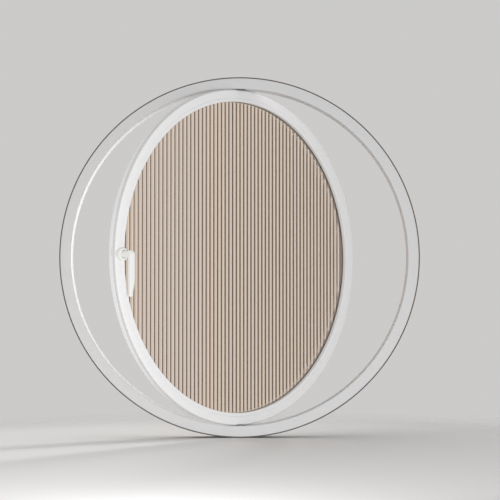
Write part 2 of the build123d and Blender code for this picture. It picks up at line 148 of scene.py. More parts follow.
# Studio, in metres and degrees
CAMERA_PLACE = (-0.018, -3.98, -0.089)
CAMERA_TILT = 91.54
CAMERA_PAN = -0.63
CAMERA_LENS = 114.12          # in millimetres, as is the sensor
CAMERA_SENSOR = 36.0
LIGHTS = (
    # name, place, the point that it faces, width, height, colour, cone
    ("key", (0.2, -3.4, -0.28), (0.0, 0.0, -0.1), 0.5, 0.3, (1.0, 0.995, 0.99), 180),
    ("fill", (-0.15, -1.5, -0.14), (-0.2, 0.0, -0.2), 0.4, 0.3, (1.0, 1.0, 1.0), 180),
    ("room", (1.2, 1.6, 0.3), (-0.4, 0.0, 0.1), 0.4, 0.4, (1.0, 0.97, 0.94), 40),
)
CARDS = (
    # property with its colour, bearing to the right of straight behind, soft edge as two cosines
    ("shade_card", 34, (0.914, 0.935)),
    ("light_card", -34, (0.90, 0.93)),
)
LEVELS = (
    # axis, two values on it, the surround's level at each, easing
    ("Z", (-0.9, -0.2), (0.45, 1.0), "SMOOTHSTEP"),      # darker below
    ("Z", (0.25, 0.95), (1.0, 1.3), "SMOOTHSTEP"),       # brighter overhead
    ("Y", (-1.0, 0.2), (0.35, 1.0), "LINEAR"),           # darker in front
)
PLAIN_LEVEL = 0.92            # where the surround is seen directly
# The floor's rings and how far each lies below its top, in millimetres
FLOOR_RADII = (0.0, 350.0, 700.0, 1050.0, 1395.0, 1400.0, 1400.0, 0.0)
FLOOR_DROPS = (0.0, 0.0, 0.0, 0.0, 0.0, -2.0, -12.0, -12.0)
FLOOR_STEPS = 128
FLOOR_FORWARD = 450.0         # millimetres from the window's foot to the floor's middle
FLOOR_GAP = 0.3               # millimetres between the foam's lowest point and the floor
FLOOR_FADE = (0.8, 1.39)      # radii at which the fade starts and ends


def linear(code):
    """An sRGB hex colour as the linear colour that a shader takes."""
    parts = np.array([int(code[i:i + 2], 16) for i in (0, 2, 4)]) / 255
    low = parts / 12.92
    high = ((parts + 0.055) / 1.055) ** 2.4
    return tuple(float(v) for v in np.where(parts <= 0.04045, low, high))


# Sizes, colours and light that a user would change

class WindowSizes(bpy.types.PropertyGroup):
    """Rounds, reeds and unevenness of the drawn surfaces"""
    frame_round: bpy.props.FloatProperty(
        name="Frame edge round", description="Radius of the coat over the frame's edges",
        default=0.0005, min=0.0001, max=0.001, unit="LENGTH", precision=5)
    sash_round: bpy.props.FloatProperty(
        name="Sash edge round", description="Radius of the coat over the sash's edges",
        default=0.0004, min=0.0001, max=0.0007, unit="LENGTH", precision=5)
    reed_pitch: bpy.props.FloatProperty(
        name="Reed pitch", description="Distance from one reed to the next",
        default=0.013, min=0.006, max=0.03, unit="LENGTH", precision=4)
    reed_depth: bpy.props.FloatProperty(
        name="Reed depth", description="Height of a reed above the valleys beside it",
        default=0.0018, min=0.0003, max=0.003, unit="LENGTH", precision=5)
    reed_shift: bpy.props.FloatProperty(
        name="Reed shift", description="Sideways shift of the reeds from the pane's middle",
        default=-0.0006, min=-0.01, max=0.01, unit="LENGTH", precision=5)
    valley_blend: bpy.props.FloatProperty(
        name="Valley blend", description="How softly two reeds run into each other",
        default=0.00009, min=0.00002, max=0.0004, unit="LENGTH", precision=6)
    foam_bulge: bpy.props.FloatProperty(
        name="Foam bulge", description="How far the foam band's free edge swells",
        default=0.0003, min=0.0, max=0.0004, unit="LENGTH", precision=5)
    pile_ripple: bpy.props.FloatProperty(
        name="Pile ripple", description="Unevenness of the brush's tips",
        default=0.0003, min=0.0, max=0.0005, unit="LENGTH", precision=5)
    grip_round: bpy.props.FloatProperty(
        name="Grip edge round", description="Radius of the grip's long front edges",
        default=0.0018, min=0.0004, max=0.004, unit="LENGTH", precision=4)


class WindowColours(bpy.types.PropertyGroup):
    """Colours of the coats, the pane and the rubber"""
    # Greyer than the sash's coat: painted shade, standing in for the shade that falls on the frame
    frame_coat_and_shade: bpy.props.FloatVectorProperty(
        name="Frame coat", description="Powder coat of the frame",
        default=linear("D6D6D7"), size=3, min=0, max=1, subtype="COLOR")
    sash_coat: bpy.props.FloatVectorProperty(
        name="Sash coat", description="Powder coat of the sash and its bead",
        default=linear("F0F0F1"), size=3, min=0, max=1, subtype="COLOR")
    handle_enamel: bpy.props.FloatVectorProperty(
        name="Handle enamel", description="Enamel of the lever and its rosette",
        default=linear("EBEBE9"), size=3, min=0, max=1, subtype="COLOR")
    keeper_paint: bpy.props.FloatVectorProperty(
        name="Keeper paint", description="Paint of the cam keeper",
        default=linear("D8D8D9"), size=3, min=0, max=1, subtype="COLOR")
    pane_tint: bpy.props.FloatVectorProperty(
        name="Pane tint", description="Colour that the glass gives to what is behind it",
        default=linear("F6E9DC"), size=3, min=0, max=1, subtype="COLOR")
    # Its mid-dark grey is painted shade: it stands in for the shadow in the joint between frame and
    # wall, which draws a dark line round the frame
    foam: bpy.props.FloatVectorProperty(
        name="Foam band", description="Rubber foam between frame and wall",
        default=linear("6C6561"), size=3, min=0, max=1, subtype="COLOR")
    gasket: bpy.props.FloatVectorProperty(
        name="Gaskets", description="Rubber wedges on both sides of the pane",
        default=linear("CFCCC8"), size=3, min=0, max=1, subtype="COLOR")
    pile: bpy.props.FloatVectorProperty(
        name="Brush pile", description="Pile of the brush seal",
        default=linear("E6E5E3"), size=3, min=0, max=1, subtype="COLOR")


class WindowStudio(bpy.types.PropertyGroup):
    """Floor, surround and lights"""
    floor: bpy.props.FloatVectorProperty(
        name="Floor", description="Colour of the floor",
        default=linear("ECECEC"), size=3, min=0, max=1, subtype="COLOR")
    sky: bpy.props.FloatVectorProperty(
        name="Surround", description="Colour of the soft light from all round",
        default=linear("D3D2D1"), size=3, min=0, max=1, subtype="COLOR")
    shade_card: bpy.props.FloatVectorProperty(
        name="Shade card", description="Darker patch behind on the right, which draws the reeds",
        default=linear("5B4636"), size=3, min=0, max=1, subtype="COLOR")
    light_card: bpy.props.FloatVectorProperty(
        name="Light card", description="Brighter patch behind on the left",
        default=linear("EFE3D8"), size=3, min=0, max=1, subtype="COLOR")
    key_power: bpy.props.FloatProperty(
        name="Key light", description="Power of the soft light far in front",
        default=52.0, min=0, max=500, unit="POWER")
    fill_power: bpy.props.FloatProperty(
        name="Fill light", description="Power of the weak light near in front",
        default=2.5, min=0, max=500, unit="POWER")
    room_power: bpy.props.FloatProperty(
        name="Room light", description="Power of the soft light behind, which lights the reveal",
        default=5.0, min=0, max=500, unit="POWER")


# Surfaces

def rounded(corners, radius, steps=4):
    """A closed outline with every corner rounded. Each corner gives an arc that touches both of
    its sides: it starts the radius times the tangent of half the turn before the corner, ends as
    far after it, and its points run evenly in angle between the two sides' normals. The radius
    is cut down where a side is too short for it."""
    here = np.asarray(corners, float)
    back = np.roll(here, 1, 0) - here
    ahead = np.roll(here, -1, 0) - here
    back_length = np.linalg.norm(back, axis=1)
    ahead_length = np.linalg.norm(ahead, axis=1)
    back = back / back_length[:, None]
    ahead = ahead / ahead_length[:, None]
    half = np.arccos(np.clip((back * ahead).sum(1), -0.999999, 0.999999)) / 2
    room = SIDE_SHARE * np.minimum(back_length, ahead_length)
    reach = np.minimum(radius / np.tan(half), room)
    size = reach * np.tan(half)
    middle = back + ahead
    middle = middle / np.linalg.norm(middle, axis=1)[:, None]
    centre = here + middle * (size / np.sin(half))[:, None]
    first = here + back * reach[:, None] - centre
    last = here + ahead * reach[:, None] - centre
    share = np.linspace(0, 1, steps + 1)[None, :, None]
    spread = np.arccos(np.clip((first * last).sum(1) / (size * size), -1, 1))[:, None, None]
    arc = first[:, None] * np.sin((1 - share) * spread) + last[:, None] * np.sin(share * spread)
    arc = arc / np.sin(spread) + centre[:, None]
    return arc.reshape(-1, 2)


def grid_faces(rows, columns, close_rows=False, close_columns=False):
    """The four-cornered faces of a grid of points numbered row by row."""
    row = np.arange(rows if close_rows else rows - 1)[:, None]
    column = np.arange(columns if close_columns else columns - 1)[None, :]
    next_row = (row + 1) % rows
    next_column = (column + 1) % columns
    corners = (
        row * columns + column,
        next_row * columns + column,
        next_row * columns + next_column,
        row * columns + next_column,
    )
    return np.stack(np.broadcast_arrays(*corners), -1).reshape(-1, 4)


def volume_sign(points, faces):
    """Positive if the faces point outwards: the sum of the tetrahedra from the origin."""
    a, b, c, d = (points[faces[:, i]] for i in range(4))
    total = (a * np.cross(b, c)).sum() + (a * np.cross(c, d)).sum()
    return 1 if total > 0 else -1


def piece(name, points, faces, caps=(), sharp=SHARP):
    """A mesh object in metres from points in millimetres, with its faces turned outwards, its
    doubled points joined and its edges sharp where they turn by more than the given degrees."""
    points = np.asarray(points, float).reshape(-1, 3) * MM
    if volume_sign(points, faces) < 0:
        faces = faces[:, ::-1]
        caps = [cap[::-1] for cap in caps]
    mesh = bpy.data.meshes.new(name)
    mesh.from_pydata(points.tolist(), [], faces.tolist() + [list(cap) for cap in caps])
    tidy(mesh, sharp)
    made = bpy.data.objects.new(name, mesh)
    bpy.context.scene.collection.objects.link(made)
    return made


def tidy(mesh, sharp=SHARP):
    """Joins doubled points and sets smooth faces with sharp edges."""
    work = bmesh.new()
    work.from_mesh(mesh)
    bmesh.ops.remove_doubles(work, verts=work.verts, dist=JOIN)
    work.to_mesh(mesh)
    work.free()
    mesh.shade_smooth()
    mesh.set_sharp_from_angle(angle=radians(sharp))


def turned(points, angle):
    """Points turned about the upright axis."""
    x, y, z = np.moveaxis(np.asarray(points, float), -1, 0)
    return np.stack((x * cos(angle) - y * sin(angle), x * sin(angle) + y * cos(angle), z), -1)


def carried(outline, angle, turn, ripple):
    """A closed outline of (radius, forward level) carried round the window's middle: at angle a
    each point lies at radius times cosine a across and radius times sine a up. A ripple adds its
    own radius for each angle and point."""
    radius = outline[None, :, 0] + (0 * angle if ripple is None else ripple(angle, outline))
    level = np.broadcast_to(outline[None, :, 1], radius.shape)
    return turned(np.stack((radius * np.cos(angle), -level, radius * np.sin(angle)), -1), turn)


def end_caps(rows, columns):
    """The faces that close the first and the last row of a tube of points."""
    last = (rows - 1) * columns
    return [list(range(columns)), [last + i for i in reversed(range(columns))]]


def ring(name, outline, turn=0.0, steps=AROUND, ripple=None):
    """A closed outline carried once round the window's middle."""
    angle = np.linspace(0, 2 * pi, steps, endpoint=False)[:, None]
    faces = grid_faces(steps, len(outline), close_rows=True, close_columns=True)
    return piece(name, carried(outline, angle, turn, ripple), faces)


def sector(name, outline, start, end, turn=0.0, steps=60, ripple=None):
    """A stretch of a ring between two angles in degrees, closed by a flat face at each end."""
    angle = np.radians(np.linspace(start, end, steps))[:, None]
    count = len(outline)
    faces = grid_faces(steps, count, close_columns=True)
    return piece(name, carried(outline, angle, turn, ripple), faces, end_caps(steps, count))


def block(name, low, high, turn=0.0):
    """A plain block between two corners, used only to cut with."""
    low, high = np.asarray(low, float), np.asarray(high, float)
    pick = np.array([
        [0, 0, 0], [1, 0, 0], [1, 1, 0], [0, 1, 0], [0, 0, 1], [1, 0, 1], [1, 1, 1], [0, 1, 1],
    ])
    points = np.where(pick == 1, high, low)
    faces = np.array([
        [0, 3, 2, 1], [4, 5, 6, 7], [0, 1, 5, 4], [1, 2, 6, 5], [2, 3, 7, 6], [3, 0, 4, 7],
    ])
    return piece(name, turned(points, turn), faces)


def cut_away(target, cutters):
    """Takes the cutters' space out of the target and removes the cutters."""
    for cutter in cutters:
        cut = target.modifiers.new(cutter.name, "BOOLEAN")
        cut.operation = "DIFFERENCE"
        cut.solver = "EXACT"
        cut.object = cutter
    graph = bpy.context.evaluated_depsgraph_get()
    mesh = bpy.data.meshes.new_from_object(target.evaluated_get(graph))
    target.modifiers.clear()
    old = target.data
    target.data = mesh
    bpy.data.meshes.remove(old)
    mesh.name = target.name
    for cutter in cutters:
        bpy.data.objects.remove(cutter)
    tidy(mesh)


def dress(made, material, body, slot, *nodes):
    """Gives a piece its finish and the body that it rides on, and hides the CAD nodes that it
    stands for.
    """
    made.data.materials.clear()
    made.data.materials.append(material)
    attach(made, body)
    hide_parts(*nodes)


# Finishes

def add(tree, kind, values=None, links=None, **settings):
    """Adds a node with its settings, its socket values and the links into it."""
    node = tree.nodes.new(kind)
    for name, value in settings.items():
        setattr(node, name, value)
    for name, value in (values or {}).items():
        node.inputs[name].default_value = value
    for name, (source, output) in (links or {}).items():
        tree.links.new(source.outputs[output], node.inputs[name])
    return node


def finish(name, shader_values):
    """A new material with its surface shader, its tree and its object coordinates."""
    found = bpy.data.materials.get(name)
    if found:
        bpy.data.materials.remove(found)
    material = bpy.data.materials.new(name)
    material.use_nodes = True
    tree = material.node_tree
    tree.nodes.clear()
    shader = add(tree, "ShaderNodeBsdfPrincipled", shader_values)
    add(tree, "ShaderNodeOutputMaterial", links={"Surface": (shader, "BSDF")})
    place = add(tree, "ShaderNodeTexCoord")
    return material, tree, shader, place


def per_metre(millimetres):
    """The noise scale that repeats about once in the given size."""
    return 1000.0 / millimetres


def mapped(tree, source, limits, results, easing="SMOOTHSTEP"):
    """Maps a value between two limits onto two results."""
    low, high = limits
    first, last = results
    values = {"From Min": low, "From Max": high, "To Min": first, "To Max": last}
    return add(tree, "ShaderNodeMapRange", values, {"Value": source}, interpolation_type=easing)


def noise_from(tree, source, size, detail=2.0):
    """Noise in the coordinates of the source, with features of the given millimetres."""
    return add(tree, "ShaderNodeTexNoise", {"Scale": per_metre(size), "Detail": detail},
               {"Vector": source})


def mottled_colour(tree, place, shader, colour, size, change):
    """Lets the base colour drift a little over the given size."""
    noise = noise_from(tree, (place, "Object"), size, 3.0)
    darker = tuple(v * (1 - change) for v in colour)
    ramp = add(tree, "ShaderNodeMix", {"A": (*colour, 1), "B": (*darker, 1)}, data_type="RGBA")
    tree.links.new(noise.outputs["Fac"], ramp.inputs["Factor"])
    tree.links.new(ramp.outputs["Result"], shader.inputs["Base Color"])


def skin(tree, place, shader, size, height, strength=0.25, stretch=None):
    """Bumps the surface with noise of the given size and height in millimetres."""
    source = (place, "Object")
    if stretch:
        source = (add(tree, "ShaderNodeMapping", {"Scale": stretch}, {"Vector": source}), "Vector")
    noise = noise_from(tree, source, size)
    bump = add(tree, "ShaderNodeBump", {"Strength": strength, "Distance": height * MM},
               {"Height": (noise, "Fac")})
    tree.links.new(bump.outputs["Normal"], shader.inputs["Normal"])


def uneven_gloss(tree, place, shader, size, low, high):
    """Lets the roughness drift between two values over the given size."""
    noise = noise_from(tree, (place, "Object"), size)
    spread = mapped(tree, (noise, "Fac"), (0.0, 1.0), (low, high), "LINEAR")
    tree.links.new(spread.outputs["Result"], shader.inputs["Roughness"])


def hollows_with_painted_shade(tree, shader, texture, colour, shade, strength):
    """Paints shade into the low places of a texture, darkening them to a share of the colour, and
    sinks them by 0.3 mm.
    """
    darker = tuple(v * shade for v in colour)
    blend = add(tree, "ShaderNodeMix", {"A": (*darker, 1), "B": (*colour, 1)},
                {"Factor": texture}, data_type="RGBA")
    tree.links.new(blend.outputs["Result"], shader.inputs["Base Color"])
    bump = add(tree, "ShaderNodeBump", {"Strength": strength, "Distance": 0.3 * MM},
               {"Height": texture})
    tree.links.new(bump.outputs["Normal"], shader.inputs["Normal"])


def powder_coat(name, colour):
    """Polyester powder coat, sprayed dry and baked: satin, with a soft orange peel that breaks up
    its reflections. The peel is 1.5 mm on the real thing and 5 mm here, so that it shows."""
    material, tree, shader, place = finish(name, {"IOR": 1.5})
    mottled_colour(tree, place, shader, colour, size=160.0, change=0.02)
    uneven_gloss(tree, place, shader, size=45.0, low=0.36, high=0.46)
    skin(tree, place, shader, size=5.0, height=0.05, strength=0.1)
    return material


def lever_enamel(name, colour):
    """Wet enamel over cast zinc: glossier than powder coat, with soft flow marks about 9 mm
    wide."""
    material, tree, shader, place = finish(name, {
        "IOR": 1.5, "Coat Weight": 0.25, "Coat Roughness": 0.12})
    mottled_colour(tree, place, shader, colour, size=60.0, change=0.015)
    uneven_gloss(tree, place, shader, size=20.0, low=0.24, high=0.34)
    skin(tree, place, shader, size=9.0, height=0.03, strength=0.15)
    return material


def mill_aluminium(name):
    """Sawn and milled aluminium: a dull grey with fine cutter marks about 0.8 mm apart."""
    material, tree, shader, place = finish(name, {"Metallic": 1.0})
    mottled_colour(tree, place, shader, linear("C3C5C7"), size=12.0, change=0.08)
    uneven_gloss(tree, place, shader, size=8.0, low=0.32, high=0.48)
    skin(tree, place, shader, size=0.8, height=0.02, stretch=(1.0, 1.0, 0.1))
    return material


def turned_steel(name):
    """Stainless steel turned on a lathe or pressed: grey, with fine rings that spread its shine."""
    material, tree, shader, place = finish(name, {"Metallic": 1.0})
    mottled_colour(tree, place, shader, linear("B4B2AF"), size=9.0, change=0.1)
    uneven_gloss(tree, place, shader, size=6.0, low=0.24, high=0.38)
    skin(tree, place, shader, size=0.5, height=0.01, stretch=(0.2, 0.2, 1.0))
    return material


def foam_rubber(name, colour):
    """Closed-cell rubber foam: matt, in a mid-dark grey that is painted shade for the dark line of
    the joint round the frame, with a pitted skin of cells about 1.5 mm across whose pits are
    darkened as painted shade.
    """
    material, tree, shader, place = finish(name, {"Roughness": 0.9, "IOR": 1.5})
    cells = add(tree, "ShaderNodeTexVoronoi", {"Scale": per_metre(1.5)},
                {"Vector": (place, "Object")})
    # Painted shade: the pits between the cells are darkened to 0.7 of the colour
    hollows_with_painted_shade(tree, shader, (cells, "Distance"), colour, shade=0.7, strength=0.5)
    return material


def soft_rubber(name, colour):
    """Extruded EPDM rubber: an even, matt grey with a faint grain."""
    material, tree, shader, place = finish(name, {"IOR": 1.5})
    mottled_colour(tree, place, shader, colour, size=30.0, change=0.06)
    uneven_gloss(tree, place, shader, size=15.0, low=0.55, high=0.7)
    skin(tree, place, shader, size=1.2, height=0.03)
    return material


def moulded_nylon(name):
    """Nylon 6 moulded in a fine-grained tool: off-white and slightly waxy."""
    material, tree, shader, place = finish(name, {"IOR": 1.53, "Subsurface Weight": 0.05})
    mottled_colour(tree, place, shader, linear("D3D2CC"), size=14.0, change=0.04)
    uneven_gloss(tree, place, shader, size=10.0, low=0.38, high=0.5)
    skin(tree, place, shader, size=0.7, height=0.02)
    return material


def woven_pile(name, colour):
    """Polypropylene pile on a woven back: tufts 0.6 mm wide that stand side by side, so the edge
    looks finely combed and soft, with painted shade darkening the low places between the tufts."""
    material, tree, shader, place = finish(name, {
        "Roughness": 0.85, "IOR": 1.49, "Sheen Weight": 0.4})
    tufts = noise_from(tree, (place, "Object"), 0.6)
    # Painted shade: the low places between the tufts are darkened to 0.55 of the colour
    hollows_with_painted_shade(tree, shader, (tufts, "Fac"), colour, shade=0.55, strength=0.6)
    return material


def rolled_glass(name, tint):
    """Soda-lime glass rolled over a fluted drum: clear, with a faint waviness, from one swell to
    the next about 40 mm across the reeds and 80 mm along them."""
    material, tree, shader, place = finish(name, {
        "Base Color": (*tint, 1), "Roughness": 0.0, "IOR": 1.52, "Transmission Weight": 1.0})
    along = add(tree, "ShaderNodeMapping", {"Scale": (1.0, 1.0, 0.5)},
                {"Vector": (place, "Object")})
    waves = noise_from(tree, (along, "Vector"), 40.0, 1.0)
    swell = add(tree, "ShaderNodeBump", {"Strength": 0.35, "Distance": 0.4 * MM},
                {"Height": (waves, "Fac")})
    tree.links.new(swell.outputs["Normal"], shader.inputs["Normal"])
    return material


# Pieces

class ROUND_WINDOW_OT_frame(bpy.types.Operator):
    """Frame ring, with the seats for the pivot plates and the keeper cut into it"""
    bl_idname = "round_window.frame"
    bl_label = "Frame ring"

    def execute(self, context):
        sizes, colours = context.scene.window_sizes, context.scene.window_colours
        half, bevel = FRAME_HALF_DEPTH, FRAME_BEVEL
        outline = rounded([
            (FRAME_INNER + bevel, half), (FRAME_OUTER, half), (FRAME_OUTER, -half),
            (FRAME_INNER + bevel, -half), (FRAME_INNER, bevel - half), (FRAME_INNER, half - bevel),
        ], sizes.frame_round / MM)
        made = ring("frame_profile", outline)
        cut_away(made, [
            keeper_seat(), tongue_slot("frame_slot", FRAME_INNER - CUT_PAST, KEEPER_SLOT, 0),
            plate_seat("upper_seat", 1), plate_seat("lower_seat", -1),
        ])
        # The frame's coat colour is greyer than the sash's: painted shade for the shade on the
        # frame
        coat = powder_coat("powder_coated_aluminium_frame", tuple(colours.frame_coat_and_shade))
        dress(made, coat, "frame", "frame_paint", "frame_ring")
        return {"FINISHED"}


def keeper_seat():
    """The keeper's angle section, a little larger, carried along its length."""
    half_angle = np.degrees(np.arcsin((KEEPER_HALF_LENGTH + SEAT_GAP) / FRAME_INNER))
    back = FRAME_INNER + KEEPER_THICKNESS + SEAT_GAP
    lip = FRAME_HALF_DEPTH - KEEPER_LIP - SEAT_GAP
    outline = np.array([
        (FRAME_INNER - CUT_PAST, FRAME_HALF_DEPTH + CUT_PAST),
        (FRAME_INNER + KEEPER_LIP_WIDTH + SEAT_GAP, FRAME_HALF_DEPTH + CUT_PAST),
        (FRAME_INNER + KEEPER_LIP_WIDTH + SEAT_GAP, lip),
        (back, lip),
        (back, FRAME_HALF_DEPTH - KEEPER_LEG - SEAT_GAP),
        (FRAME_INNER - CUT_PAST, FRAME_HALF_DEPTH - KEEPER_LEG - SEAT_GAP),
    ])
    return sector("keeper_seat", outline, 180 - half_angle, 180 + half_angle)


def tongue_slot(name, inner, corners, turn):
    """The opening for the cam tongue, on the left, from the given radius outwards."""
    low, high = corners
    return block(name, (-inner - SLOT_REACH, *low), (-inner, *high), turn)


def plate_seat(name, side):
    """The rounded pocket of a pivot plate."""
    width, length = PLATE_WIDTH / 2 + SEAT_GAP, PLATE_LENGTH / 2 + SEAT_GAP
    corners = [(-width, -length), (width, -length), (width, length), (-width, length)]
    outline = rounded(corners, PLATE_CORNER)
    levels = np.array([FRAME_INNER - CUT_PAST, PLATE_BACK])[:, None] * side
    points = np.stack(np.broadcast_arrays(outline[None, :, 0], outline[None, :, 1], levels), -1)
    count = len(outline)
    faces = grid_faces(2, count, close_columns=True)
    return piece(name, points[::side], faces, end_caps(2, count))


class ROUND_WINDOW_OT_foam(bpy.types.Operator):
    """Foam band between the frame and the wall, slightly swollen at its free edges"""
    bl_idname = "round_window.foam"
    bl_label = "Foam band"

    def execute(self, context):
        sizes, colours = context.scene.window_sizes, context.scene.window_colours
        edge = FRAME_HALF_DEPTH - SEAL_SETBACK
        swell = sizes.foam_bulge / MM
        crest = FRAME_OUTER + SEAL_CREST
        outline = rounded([
            (FRAME_OUTER, edge), (crest, edge + swell), (SEAL_OUTER, edge),
            (SEAL_OUTER, -edge), (crest, -edge - swell), (FRAME_OUTER, -edge),
        ], SEAL_ROUND)

        def cells(angle, line):
            """Two sine waves round the band, growing from the frame to its cut edge."""
            free = np.clip((line[None, :, 0] - FRAME_OUTER) / (SEAL_OUTER - FRAME_OUTER), 0, 1)
            short, long = SEAL_WAVES
            wave = 1 + np.sin(angle * short) * 0.5 + np.sin(angle * long) * 0.5
            return -SEAL_WAVE_DEPTH * free * wave

        made = ring("foam_band", outline, steps=AROUND * 4, ripple=cells)
        # The band's grey is painted shade for the shadow line in the joint round the frame
        foam = foam_rubber("closed_cell_rubber_foam", tuple(colours.foam))
        dress(made, foam, "frame", "foam_rubber", "wall_seal")
        return {"FINISHED"}


class ROUND_WINDOW_OT_sash(bpy.types.Operator):
    """Sash ring and the glazing bead clipped into it"""
    bl_idname = "round_window.sash"
    bl_label = "Sash ring and bead"

    def execute(self, context):
        sizes, colours = context.scene.window_sizes, context.scene.window_colours
        outline = rounded([
            (REBATE, SASH_HALF), (SASH_OUTER - SASH_BEVEL, SASH_HALF),
            (SASH_OUTER, SASH_HALF - SASH_BEVEL),
            (SASH_OUTER, GROOVE_TOP), (GROOVE_FLOOR, GROOVE_TOP), (GROOVE_FLOOR, GROOVE_BOTTOM),
            (SASH_OUTER, GROOVE_BOTTOM), (SASH_OUTER, SASH_BEVEL - SASH_HALF),
            (SASH_OUTER - SASH_BEVEL, -SASH_HALF), (SIGHT, -SASH_HALF), (SIGHT, REAR_LIP_LEVEL),
            (REBATE, REAR_LIP_LEVEL),
        ], sizes.sash_round / MM)
        made = ring("sash_profile", outline, TURN)
        cut_away(made, [tongue_slot("sash_slot", SASH_SLOT_START, TONGUE_SLOT, TURN)])
        coat = powder_coat("powder_coated_aluminium_sash", tuple(colours.sash_coat))
        dress(made, coat, "sash", "sash_paint", "sash_ring")
        nose = SASH_HALF - BEAD_FALL
        bead_outline = rounded([
            (BEAD_OUTER, SASH_HALF), (SIGHT + BEAD_BEVEL, nose), (SIGHT, nose - BEAD_BEVEL),
            (SIGHT, BEAD_FOOT_LEVEL), (SIGHT + BEAD_FOOT, BEAD_FOOT_LEVEL),
            (BEAD_OUTER, SASH_HALF - BEAD_FOOT),
        ], sizes.sash_round / MM)
        bead = ring("bead_profile", bead_outline, TURN)
        dress(bead, coat, "sash", "sash_paint", "glazing_bead")
        return {"FINISHED"}


class ROUND_WINDOW_OT_pane(bpy.types.Operator):
    """Round reeded pane, its reeds upright on the handle side"""
    bl_idname = "round_window.pane"
    bl_label = "Reeded pane"

    def execute(self, context):
        sizes, colours = context.scene.window_sizes, context.scene.window_colours
        made = reeded_pane(sizes)
        glass = rolled_glass("reeded_soda_lime_glass", tuple(colours.pane_tint))
        dress(made, glass, "sash", "reeded_glass", "reeded_glass")
        return {"FINISHED"}


def reeded_pane(sizes):
    """A pane whose front is a row of equal arcs. Across the reeds, the height of an arc below its
    crest is its radius less the root of the radius squared less the offset squared, and two
    neighbours run together by a soft maximum. Up the pane each line ends on the circle."""
    pitch, depth = sizes.reed_pitch / MM, sizes.reed_depth / MM
    blend, shift = sizes.valley_blend / MM, sizes.reed_shift / MM
    across = np.linspace(-PANE_RADIUS, PANE_RADIUS, PANE_LINES)
    arc = (pitch * pitch / 4 + depth * depth) / (2 * depth)
    offset = np.mod(across - shift, pitch) - pitch / 2
    own = np.sqrt(arc * arc - offset * offset) - arc
    beside = np.sqrt(np.clip(arc * arc - (pitch - np.abs(offset)) ** 2, 0, None)) - arc
    height = PANE_FRONT + blend * np.logaddexp(own / blend, beside / blend)
    chord = np.sqrt(np.clip(PANE_RADIUS ** 2 - across ** 2, 0, None))
    across, height, chord = across[:, None], height[:, None], chord[:, None]
    up = np.array(PANE_ROWS)
    front = np.stack(np.broadcast_arrays(across, -height, chord * up), -1)
    back = np.stack(np.broadcast_arrays(across, -PANE_BACK, chord * up[::-1]), -1)
    points = np.concatenate((front, back), 1)
    faces = grid_faces(len(across), points.shape[1], close_columns=True)
    return piece("reeded_pane", turned(points, TURN), faces, sharp=60.0)


class ROUND_WINDOW_OT_brush(bpy.types.Operator):
    """Brush seal in the sash's edge, in two lengths from pivot to pivot"""
    bl_idname = "round_window.brush"
    bl_label = "Brush seal"

    def execute(self, context):
        sizes, colours = context.scene.window_sizes, context.scene.window_colours
        middle = (GROOVE_TOP + GROOVE_BOTTOM) / 2
        base, back, tip = GROOVE_FLOOR + PILE_BACK_HEIGHT, PILE_BACK_HALF, PILE_TIP_HALF
        outline = rounded([
            (GROOVE_FLOOR, middle + back), (base, middle + back), (PILE_TIP, middle + tip),
            (PILE_TIP, middle - tip), (base, middle - back), (GROOVE_FLOOR, middle - back),
        ], PILE_ROUND)
        gap = np.degrees(np.arcsin(PILE_END_GAP / SASH_OUTER))
        high = sizes.pile_ripple / MM

        def tips(angle, line):
            """Uneven tips: two sine waves of tuft size, growing from the back to the tip."""
            free = np.clip((line[None, :, 0] - base) / (PILE_TIP - base), 0, 1)
            wide, narrow = PILE_WAVES
            return -high * free * (1 + np.sin(angle * wide) * 0.6 + np.sin(angle * narrow) * 0.4)

        pile = woven_pile("polypropylene_pile", tuple(colours.pile))
        for name, start in (("brush_pile_right", gap - 90), ("brush_pile_left", gap + 90)):
            made = sector(name, outline, start, start + 180 - 2 * gap, TURN, PILE_STEPS, tips)
            dress(made, pile, "sash", "brush_pile", "sash_brush_seal")
        return {"FINISHED"}


def at_handle(points):
    """Points drawn as (across, up, forward from the sash's middle), put at the handle's axis."""
    across, up, forward = np.moveaxis(np.asarray(points, float), -1, 0)
    return turned(np.stack((across - HANDLE_RADIUS, -forward, up), -1), TURN)


def turned_form(name, outline, steps=96):
    """A closed outline of (radius, forward) carried round the handle's axis."""
    angle = np.linspace(0, 2 * pi, steps, endpoint=False)[:, None]
    radius = np.broadcast_to(outline[None, :, 0], (steps, len(outline)))
    forward = np.broadcast_to(outline[None, :, 1], radius.shape)
    points = np.stack((radius * np.cos(angle), radius * np.sin(angle), forward), -1)
    return piece(name, at_handle(points), grid_faces(steps, len(outline), True, True))


class ROUND_WINDOW_OT_handle(bpy.types.Operator):
    """Rosette and lever with its neck and flat grip"""
    bl_idname = "round_window.handle"
    bl_label = "Handle"

    def execute(self, context):
        sizes, colours = context.scene.window_sizes, context.scene.window_colours
        enamel = lever_enamel("enamelled_cast_zinc", tuple(colours.handle_enamel))
        cover = turned_form("rosette", rosette_outline())
        dress(cover, enamel, "sash", "handle_paint", "rosette_cover")
        for made in (turned_form("lever_neck", neck_outline()), lever_grip(sizes)):
            dress(made, enamel, "handle", "handle_paint", "handle_lever")
        return {"FINISHED"}


def rosette_outline():
    """Half section of the cap: an even wall with a rounded rim, open round the neck."""
    top, hole = SASH_HALF + ROSETTE_HEIGHT, NECK_BASE + NECK_GAP
    inner, ceiling = ROSETTE_RADIUS - ROSETTE_WALL, top - ROSETTE_WALL
    corners = [
        (ROSETTE_RADIUS, SASH_HALF), (ROSETTE_RADIUS, top), (hole, top), (hole, ceiling),
        (inner, ceiling), (inner, SASH_HALF),
    ]
    radii = np.array([0.2, ROSETTE_RIM, 0.4, 0.2, 1.0, 0.2])
    return rounded(corners, radii, steps=10)


